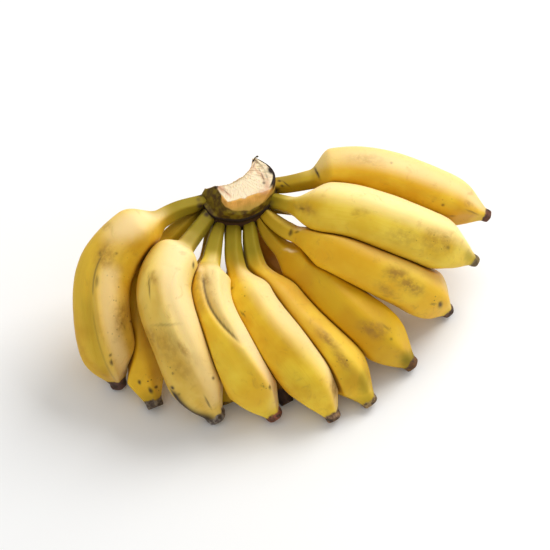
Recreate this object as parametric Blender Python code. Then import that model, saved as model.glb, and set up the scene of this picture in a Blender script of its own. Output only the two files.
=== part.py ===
"""A hand of short, plump bananas resting on its tips: the cut crown and fourteen fingers.

Sizes are in millimetres and become metres where a mesh is written. The hand stands on the
surface at height 0, with the crown raised and the fingers arching out and down from it.
"""

import math
from dataclasses import dataclass

import bpy
import numpy as np

MM = 0.001

# The sight line along which the fingers' centrelines were laid out, above the horizontal
SIGHT_ELEVATION = math.radians(55)
CROWN_HEIGHT = 80.0

# The clear gap between neighbouring pieces
GAP = 0.3
CONTACT_GAP = 0.6

# Crown: a crescent block swept along an arc seen from above
CROWN_ARC_CENTRE = (-6.7, 16.5)
CROWN_ARC_RADIUS = 21.5
CROWN_ARC_BEARING = math.radians(-58)
CROWN_ARC_HALF_ANGLE = math.radians(92)
CROWN_HALF_WIDTH = 12.5
CROWN_TOP = 13.0
CROWN_RIM = -1.0
CROWN_BOTTOM = -27.0
CROWN_DISH = 2.5
CROWN_LEAN = 0.14
CROWN_END_SHARE = 0.98
CROWN_CUT_POWER = 0.32
CROWN_BASE_POWER = 0.7
CROWN_STATIONS = 26
CROWN_SIDES = 20

# Finger: lengths along the centreline and shares of the body radius
STEM_ROOT_RADIUS = 5.2
STEM_WIDENING = 0.05
TAPER_LENGTH = 42.0
TAPER_START = 2.2
TAPER_ROUNDNESS = 0.82
TIP_LENGTH = 4.0
TIP_ROUNDING = 1.6
TIP_RADIUS = 5.2
RIDGE_COUNT = 5
RIDGE_DEPTH = 0.030
STEM_RINGS = 4
SHOULDER_RINGS = 5
BODY_RINGS = 6
TAPER_RINGS = 10
SIDES = 16
AXIS_SAMPLES = 90
SPLINE_STEPS = 1200
PRESS_STEPS = 22


@dataclass(frozen=True)
class Finger:
    """One banana: body radius, stem and shoulder lengths, turn of its ridges, and centreline.

    The turn is how far the front ridge lies round from the side that the sight line meets.

    Each point of the centreline is (across, up, height): millimetres to the right of the
    crown's centre and up the picture plane as the sight line shows it, and millimetres
    above the surface.
    """

    name: str
    radius: float
    stem: float
    shoulder: float
    roll: float
    points: tuple


FINGERS = (
    Finger("finger_right_top", 19.5, 35, 17, -5, (
        (15, 10, 76), (36, 14, 80), (55, 19, 86), (84, 19, 88),
        (115, 12, 80), (143, 1, 64), (176, -12, 42))),
    Finger("finger_right_front", 20.5, 27, 30, 34, (
        (17, 1, 74), (36, -4, 82), (55, -6, 90), (77, -8, 92),
        (101, -15, 86), (130, -27, 68), (167, -44, 36))),
    Finger("finger_right_low", 20.0, 34, 24, 20, (
        (15, -6, 70), (34, -22, 74), (55, -26, 76), (87, -42, 66),
        (115, -57, 46), (147, -79, 1))),
    Finger("finger_mid_right", 19.5, 31, 26, 12, (
        (11, -8, 68), (28, -33, 62), (49, -50, 54), (73, -73, 44),
        (98, -96, 27), (122, -117, 2))),
    Finger("finger_mid_front", 20.0, 36, 28, 30, (
        (5, -11, 68), (9, -39, 62), (23, -69, 52), (42, -91, 41),
        (66, -116, 26), (93, -144, 2))),
    Finger("finger_centre_right", 20.0, 41, 24, 22, (
        (-3, -11, 68), (-1, -43, 64), (9, -73, 57), (25, -98, 47),
        (44, -123, 30), (67, -155, 2))),
    Finger("finger_centre", 20.0, 38, 20, 25, (
        (-13, -10, 68), (-20, -43, 68), (-20, -77, 64), (-7, -105, 51),
        (8, -129, 28), (26, -153, 1))),
    Finger("finger_left_front", 20.5, 35, 18, 27, (
        (-22, -8, 72), (-41, -34, 76), (-53, -65, 76), (-47, -96, 62),
        (-34, -125, 36), (-15, -154, 0))),
    Finger("finger_left_low", 18.0, 34, 24, 10, (
        (-25, -6, 66), (-45, -22, 64), (-63, -45, 52), (-71, -71, 38),
        (-69, -102, 25), (-58, -147, 3))),
    Finger("finger_left_side", 20.5, 38, 24, 2, (
        (-24, -2, 74), (-41, -6, 79), (-58, -15, 83), (-80, -29, 82),
        (-94, -49, 74), (-97, -74, 60), (-94, -102, 36), (-84, -131, 0))),
    Finger("finger_under_left", 17.0, 36, 24, 0, (
        (-17, -8, 58), (-19, -43, 50), (-29, -77, 40), (-24, -108, 26),
        (-9, -144, 3))),
    Finger("finger_under_centre", 17.0, 36, 24, 0, (
        (-8, -10, 56), (-3, -43, 42), (4, -77, 28), (17, -111, 19),
        (34, -144, 4))),
    Finger("finger_under_mid", 17.0, 34, 26, 0, (
        (6, -8, 58), (14, -32, 42), (30, -58, 28), (55, -82, 19),
        (84, -102, 8))),
    Finger("finger_under_right", 17.0, 34, 26, 0, (
        (8, -2, 66), (34, -4, 60), (62, -6, 52), (95, -14, 41),
        (125, -22, 22), (148, -29, 0))),
)


def clear_scene():
    """Removes every object that is in the scene."""
    for found in list(bpy.data.objects):
        bpy.data.objects.remove(found, do_unlink=True)


def laid_out(across, up, height):
    """The point in space that the sight line shows at (across, up) and at this height."""
    rise = height - CROWN_HEIGHT
    away = (up - rise * math.cos(SIGHT_ELEVATION)) / math.sin(SIGHT_ELEVATION)
    return (across, away, height)


def run_lengths(points):
    """The distance from the first point to each point along the straight runs between them."""
    runs = np.linalg.norm(np.diff(points, axis=0), axis=1)
    return np.concatenate([[0.0], np.cumsum(runs)])


def spline(points, count):
    """A natural cubic spline through the points, at this many even steps of its length."""
    points = np.array(points, float)
    knots = run_lengths(points)
    last = len(points) - 1
    gaps = np.diff(knots)
    matrix = np.eye(last + 1)
    right = np.zeros_like(points)
    for i in range(1, last):
        matrix[i, i - 1:i + 2] = gaps[i - 1], 2 * (gaps[i - 1] + gaps[i]), gaps[i]
        slopes = (points[i + 1] - points[i]) / gaps[i], (points[i] - points[i - 1]) / gaps[i - 1]
        right[i] = 6 * (slopes[0] - slopes[1])
    bend = np.linalg.solve(matrix, right)

    def at(where):
        i = np.clip(np.searchsorted(knots, where, side="right") - 1, 0, last - 1)
        width = gaps[i][:, None]
        after = (where - knots[i])[:, None]
        before = width - after
        cubic = (bend[i] * before**3 + bend[i + 1] * after**3) / (6 * width)
        line = points[i] * (before / width) + points[i + 1] * (after / width)
        return cubic + line - width / 6 * (bend[i] * before + bend[i + 1] * after)

    dense = np.linspace(0.0, knots[-1], SPLINE_STEPS)
    track = at(dense)
    length = run_lengths(track)
    even = np.interp(np.linspace(0.0, length[-1], count), length, dense)
    return at(even), length[-1]


def smooth_step(x):
    """0 below 0, 1 above 1, and a smooth rise between."""
    x = np.clip(x, 0.0, 1.0)
    return x * x * (3 - 2 * x)


def finger_radius(finger, along, length):
    """The radius at each distance along the centreline: stem, shoulder, body, taper, tip."""
    grown = smooth_step((along - finger.stem) / finger.shoulder)
    stem = STEM_ROOT_RADIUS + STEM_WIDENING * along
    body = stem + (finger.radius - stem) * grown
    tapered = np.clip((along - length + TIP_LENGTH + TAPER_LENGTH) / TAPER_LENGTH, 0.0, 1.0)
    share = (1 - tapered**TAPER_START) ** TAPER_ROUNDNESS
    return TIP_RADIUS + (body - TIP_RADIUS) * share


def ridge_share(turn):
    """The radius round a section as a share of the body radius: five soft ridges."""
    wave = np.cos(RIDGE_COUNT * turn)
    return 1.0 - RIDGE_DEPTH * (1.0 - wave)


class Centreline:
    """The smooth path of a finger with its length, radius and frame at each sample."""

    def __init__(self, finger, count):
        path, self.length = spline([laid_out(*point) for point in finger.points], count)
        self.points = path
        self.along = np.linspace(0.0, self.length, count)
        self.radius = finger_radius(finger, self.along, self.length)
        tangent = np.gradient(path, axis=0)
        self.tangent = tangent / np.linalg.norm(tangent, axis=1, keepdims=True)
        front = np.array([0.0, -math.cos(SIGHT_ELEVATION), math.sin(SIGHT_ELEVATION)])
        facing = front - (self.tangent @ front)[:, None] * self.tangent
        self.facing = facing / np.linalg.norm(facing, axis=1, keepdims=True)
        self.flank = np.cross(self.tangent, self.facing)

    def read(self, values, where):
        """The values, one row for each sample, read at these distances along the line."""
        return np.stack([np.interp(where, self.along, column) for column in values.T], axis=1)


def depth_outside(points, line):
    """How far each point is outside the round finger about this centreline (below 0: inside)."""
    apart = np.linalg.norm(points[:, None, :] - line.points[None, :, :], axis=2)
    return (apart - line.radius[None, :]).min(axis=1)


def near(line, other):
    """Whether two fingers come close enough to press on each other."""
    apart = np.linalg.norm(line.points[:, None, :] - other.points[None, :, :], axis=2)
    return (apart - line.radius[:, None] - other.radius[None, :]).min() < CONTACT_GAP


def pressed(starts, ends, line, others):
    """The share of each ray from starts to ends that the finger keeps.

    Where two fingers would share space, each keeps the points that lie deeper inside it
    than inside its neighbour, so that they meet in a flattened contact face.
    """
    low = np.zeros(len(starts))
    high = np.ones(len(starts))

    def free(share):
        points = starts + (ends - starts) * share[:, None]
        own = depth_outside(points, line)
        allowed = np.ones(len(points), bool)
        for other in others:
            allowed &= own <= depth_outside(points, other) - CONTACT_GAP
        return allowed

    whole = free(high)
    for _ in range(PRESS_STEPS):
        middle = (low + high) / 2
        kept = free(middle)
        low = np.where(kept, middle, low)
        high = np.where(kept, high, middle)
    return np.where(whole, 1.0, low)


def station_lengths(finger, length):
    """Distances of the rings along a finger, closest together in the taper and the tip."""
    full = finger.stem + finger.shoulder
    taper = length - TIP_LENGTH - TAPER_LENGTH
    face = length - TIP_ROUNDING
    stem = np.linspace(0.0, finger.stem, STEM_RINGS, endpoint=False)
    shoulder = np.linspace(finger.stem, full, SHOULDER_RINGS, endpoint=False)
    body = np.linspace(full, taper, BODY_RINGS, endpoint=False)
    end = np.linspace(taper, face, TAPER_RINGS)
    return np.concatenate([stem, shoulder, body, end, [length]])


def finger_grid(finger, line, others):
    """The finger's rings of points, pressed by its neighbours and flattened on the surface."""
    where = station_lengths(finger, line.length)
    centre = line.read(line.points, where)
    facing = line.read(line.facing, where)
    flank = line.read(line.flank, where)
    radius = np.interp(where, line.along, line.radius)
    radius[-1] -= TIP_ROUNDING
    turn = np.linspace(0.0, 2 * math.pi, SIDES, endpoint=False)
    share = ridge_share(turn + math.radians(finger.roll))
    ray = np.cos(turn)[None, :, None] * facing[:, None, :]
    ray = ray + np.sin(turn)[None, :, None] * flank[:, None, :]
    reach = radius[:, None] * share[None, :]
    starts = np.repeat(centre, SIDES, axis=0)
    ends = starts + (ray * reach[:, :, None]).reshape(-1, 3)
    kept = pressed(starts, ends, line, others)
    grid = starts + (ends - starts) * kept[:, None]
    grid[:, 2] = np.maximum(grid[:, 2], 0.0)
    return grid.reshape(len(where), SIDES, 3)


def closed_mesh(name, grid):
    """A closed mesh from rings of points, with a fan at each end."""
    rings, sides = grid.shape[:2]
    points = grid.reshape(-1, 3)
    ends = np.array([grid[0].mean(axis=0), grid[-1].mean(axis=0)])
    index = np.arange(rings * sides).reshape(rings, sides)
    here, after = index[:-1], index[1:]
    quads = np.stack([here, np.roll(here, -1, axis=1), np.roll(after, -1, axis=1), after], axis=2)
    first, last = index[0], index[-1]
    start_fan = np.stack([np.full(sides, rings * sides), np.roll(first, -1), first], axis=1)
    end_fan = np.stack([np.full(sides, rings * sides + 1), last, np.roll(last, -1)], axis=1)
    faces = quads.reshape(-1, 4).tolist() + start_fan.tolist() + end_fan.tolist()
    mesh = bpy.data.meshes.new(name)
    mesh.from_pydata((np.concatenate([points, ends]) * MM).tolist(), [], faces)
    mesh.update()
    mesh.shade_smooth()
    return mesh


def crown_grid(grow=0.0):
    """Rings of the crown's sections along its arc; grow swells it for a clearance cutter.

    A section is boxy above, where the knife cut it, and rounded below. The crown is full
    in the middle of its arc and thins out to both ends.
    """
    sweep = np.linspace(-1.0, 1.0, CROWN_STATIONS)
    half_angle = CROWN_ARC_HALF_ANGLE + 2 * grow / CROWN_ARC_RADIUS
    bearing = CROWN_ARC_BEARING + sweep * half_angle
    out = np.stack([np.cos(bearing), np.sin(bearing), np.zeros_like(bearing)], axis=1)
    centre = np.array([*CROWN_ARC_CENTRE, CROWN_HEIGHT]) + CROWN_ARC_RADIUS * out
    fullness = np.sqrt(1.0 - np.abs(CROWN_END_SHARE * sweep) ** 3)
    turn = np.linspace(2 * math.pi, 0.0, CROWN_SIDES, endpoint=False)
    power = np.where(np.sin(turn) > 0, CROWN_CUT_POWER, CROWN_BASE_POWER)
    wide = np.sign(np.cos(turn)) * np.abs(np.cos(turn)) ** power
    tall = np.sign(np.sin(turn)) * np.abs(np.sin(turn)) ** power
    lean = 1.0 - CROWN_LEAN * np.abs(tall)
    across = CROWN_HALF_WIDTH * fullness[:, None] * (wide * lean)[None, :]
    across = across + grow * np.sign(wide)[None, :]
    dish = CROWN_DISH * np.clip(tall, 0.0, 1.0) * (1.0 - np.abs(wide))
    upper = (CROWN_TOP + grow - CROWN_RIM) * np.clip(tall, 0.0, 1.0) - dish
    lower = (CROWN_RIM - CROWN_BOTTOM + grow) * np.clip(tall, -1.0, 0.0)
    height = CROWN_RIM + upper[None, :] + lower[None, :] * fullness[:, None]
    flat = centre[:, None, :] + out[:, None, :] * across[:, :, None]
    return flat + np.array([0.0, 0.0, 1.0]) * height[:, :, None]


def material(name, colour, roughness):
    """A plain Principled material."""
    made = bpy.data.materials.new(name)
    made.use_nodes = True
    shader = made.node_tree.nodes["Principled BSDF"]
    shader.inputs["Base Color"].default_value = (*colour, 1.0)
    shader.inputs["Roughness"].default_value = roughness
    shader.inputs["Metallic"].default_value = 0.0
    return made


def add_object(name, mesh, collection, finish, parent):
    """Puts a mesh in the collection as an object carried by the parent."""
    made = bpy.data.objects.new(name, mesh)
    collection.objects.link(made)
    mesh.materials.append(finish)
    made.parent = parent
    return made


def add_collection(name):
    """A collection of this name in the scene."""
    made = bpy.data.collections.new(name)
    bpy.context.scene.collection.children.link(made)
    return made


def main():
    clear_scene()
    hand = add_collection("hand_of_bananas")
    helpers = add_collection("hand_of_bananas_cutters")
    peel = material("banana_peel", (0.74, 0.50, 0.06), 0.45)
    cut = material("crown_flesh", (0.78, 0.62, 0.38), 0.75)

    lines = [Centreline(finger, AXIS_SAMPLES) for finger in FINGERS]
    grids = []
    for finger, line in zip(FINGERS, lines):
        others = [other for other in lines if other is not line and near(line, other)]
        grids.append(finger_grid(finger, line, others))
    crown = crown_grid()

    everything = np.concatenate([grid.reshape(-1, 3) for grid in grids + [crown]])
    low, high = everything.min(axis=0), everything.max(axis=0)
    stand = bpy.data.objects.new("hand_stand", None)
    hand.objects.link(stand)
    stand.location = (-(low[0] + high[0]) / 2 * MM, -(low[1] + high[1]) / 2 * MM, 0.0)

    add_object("crown", closed_mesh("crown", crown), hand, cut, stand)
    swollen = closed_mesh("crown_clearance", crown_grid(GAP))
    cutter = add_object("crown_clearance", swollen, helpers, cut, stand)
    cutter.hide_render = True
    cutter.display_type = "WIRE"

    for finger, grid in zip(FINGERS, grids):
        made = add_object(finger.name, closed_mesh(finger.name, grid), hand, peel, stand)
        trim = made.modifiers.new("root_trim", "BOOLEAN")
        trim.operation = "DIFFERENCE"
        trim.object = cutter


main()
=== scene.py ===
"""A finished hand of short, plump bananas standing on its tips, with its freshly cut crown.

Every finger is a surface on a grid: distance along its centreline by turn round it. The
sizes repeat the solids' own, in millimetres, and become metres where a mesh is written.
"""

import logging
import math
from dataclasses import dataclass
from enum import Enum
from typing import Any

import bpy
import numpy as np
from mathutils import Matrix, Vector


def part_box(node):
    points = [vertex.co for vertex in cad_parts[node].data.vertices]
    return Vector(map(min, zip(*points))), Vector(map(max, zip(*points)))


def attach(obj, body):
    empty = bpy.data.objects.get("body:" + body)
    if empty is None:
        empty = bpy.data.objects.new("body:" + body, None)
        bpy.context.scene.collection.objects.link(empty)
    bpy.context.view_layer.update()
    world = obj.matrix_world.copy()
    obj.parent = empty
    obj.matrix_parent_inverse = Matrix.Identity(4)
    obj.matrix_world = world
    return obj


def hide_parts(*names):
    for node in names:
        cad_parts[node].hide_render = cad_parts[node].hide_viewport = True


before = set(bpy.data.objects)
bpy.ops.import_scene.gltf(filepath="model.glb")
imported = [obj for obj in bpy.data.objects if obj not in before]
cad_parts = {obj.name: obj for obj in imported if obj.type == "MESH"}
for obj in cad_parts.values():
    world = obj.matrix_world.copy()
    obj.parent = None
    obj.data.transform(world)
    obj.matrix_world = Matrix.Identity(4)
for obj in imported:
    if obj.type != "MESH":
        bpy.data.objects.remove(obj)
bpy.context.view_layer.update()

LOG = logging.getLogger("hand_of_bananas")

MM = 0.001
PICTURE_SIDE = 550

# The sight line along which the fingers' centrelines are laid out, and its scale
SIGHT_ELEVATION = math.radians(55)
SIGHT_SCALE = 0.7
SIGHT_COLUMN = 240.0
SIGHT_ROW = 200.0
FRONT = np.array([0.0, -math.cos(SIGHT_ELEVATION), math.sin(SIGHT_ELEVATION)])
# The side that faces the key light, where a lighter tone is painted on as a painted highlight
KEY_LIGHT_SIDE = np.array([0.42, 0.42, 0.80])

# Crown, as in the solid
CROWN_HEIGHT = 80.0
CROWN_ARC_CENTRE = (-6.7, 16.5)
CROWN_ARC_RADIUS = 21.5
CROWN_ARC_BEARING = math.radians(-58)
CROWN_ARC_HALF_ANGLE = math.radians(92)
CROWN_HALF_WIDTH = 12.5
CROWN_TOP = 13.0
CROWN_RIM = -1.0
CROWN_BOTTOM = -27.0
CROWN_DISH = 2.5
CROWN_LEAN = 0.14
CROWN_END_SHARE = 0.98
CROWN_CUT_POWER = 0.32
CROWN_BASE_POWER = 0.7
CROWN_STATIONS = 26
CROWN_SIDES = 20

# Finger, as in the solid
STEM_ROOT_RADIUS = 5.2
STEM_WIDENING = 0.05
TAPER_LENGTH = 42.0
TAPER_START = 2.2
TAPER_ROUNDNESS = 0.82
TIP_LENGTH = 4.0
TIP_RADIUS = 5.2
RIDGE_COUNT = 5
AXIS_SAMPLES = 150
SPLINE_STEPS = 1200

# Finger, in the finished surface
RINGS = 236
SIDES = 136
LIMIT_RINGS = 110
LIMIT_SIDES = 90
LIMIT_STEPS = 9
LIMIT_FROM = 0.2
LIMIT_TO = 1.3
CONTACT_GAP = 0.3
CONTACT_SOFTNESS = 0.45
PRESS_REACH = 1.6
ROOT_FLARE = 1.6
ROOT_FLARE_LENGTH = 7.0
WAIST_START = 36.0
WAIST_LENGTH = 32.0
NECK_START = 90.0
NECK_LENGTH = 60.0
RINGS_NEAR_CROWN = RINGS // 3
FAR_AWAY = 99.0


class MarkKind(Enum):
    """What a mark on the peel is: its own bruise, scar, speck or green, or a painted highlight. A
    few bruises and scars are painted shade.
    """

    # Bruises and scars are the peel's own, except a few that are painted shade in folds and along
    # shaded edges
    BRUISE_AND_SHADE = "bruise"
    SCAR_AND_SHADE = "scar"
    SPECK = "specks"
    GREEN = "green"
    # Painted highlight, where the light falls brighter
    PAINTED_HIGHLIGHT = "pale"


@dataclass(frozen=True)
class Mark:
    """A soft oval mark on the side that the sight line meets.

    Column and row are its middle in the picture, long and wide its half sizes there, and
    lean is how far its long side dips below the horizontal, to the right, in degrees.
    """

    kind: MarkKind
    column: float
    row: float
    long: float
    wide: float
    lean: float = 0.0
    strength: float = 1.0


@dataclass(frozen=True)
class Fold:
    """A ridge (height above 0) or a furrow (below 0) that runs along a finger.

    It goes from one turn to another, in degrees, between two shares of the length.
    """

    start: float
    end: float
    turn_start: float
    turn_end: float
    height: float
    width: float


@dataclass(frozen=True)
class Stripe:
    """A soft streak of one kind along a finger, between two shares of its length.

    It goes from one turn to another, in degrees, as wide as its half width in millimetres.
    """

    kind: MarkKind
    start: float
    end: float
    turn_start: float
    turn_end: float
    width: float
    strength: float = 1.0


@dataclass(frozen=True)
class Look:
    """What sets one finger's surface apart from the others'.

    The colours are its pale and deep yellow and its tip. Ridge is the depth of its five
    ridges as a share of the radius, sharp how pointed they are, and neck how hollow its
    taper is. Stub is the length of the dry end and trim what the finger is shorter than its
    line, in millimetres. Front is how many millimetres more it takes where fingers press,
    outer the strength of the painted highlight on its side that faces the key light, and
    crease that of the painted shade near contacts.
    """

    pale: str = "#F0CB52"
    deep: str = "#DDA520"
    tip: str = "#5E4A3C"
    ridge: float = 0.036
    sharp: float = 0.35
    neck: float = 0.55
    green_stem: float = 0.85
    green_neck: float = 0.15
    stub: float = 5.0
    stub_radius: float = 5.6
    trim: float = 3.0
    front: float = 0.0
    outer: float = 0.6
    crease_shade: float = 1.0
    folds: tuple[Fold, ...] = ()
    stripes: tuple[Stripe, ...] = ()
    marks: tuple[Mark, ...] = ()


@dataclass(frozen=True)
class Finger:
    """One banana: the solid's sizes, and its look.

    Each point of the centreline is (across, up, height): millimetres to the right of the
    crown's centre and up the picture plane, and millimetres above the surface.
    """

    node: str
    radius: float
    stem: float
    shoulder: float
    roll: float
    points: tuple[tuple[float, float, float], ...]
    look: Look


# One letter for each kind, in their order: bruise, scar, speck, green and pale, which is a painted
# highlight. A few bruise and scar marks are painted shade.
B, S, K, G, P = MarkKind


def ovals(kind: MarkKind, *rows: tuple[float, ...]) -> tuple[Mark, ...]:
    """Marks of one kind, each from its column, row, half sizes, lean and strength."""
    return tuple(Mark(kind, *row) for row in rows)


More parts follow.
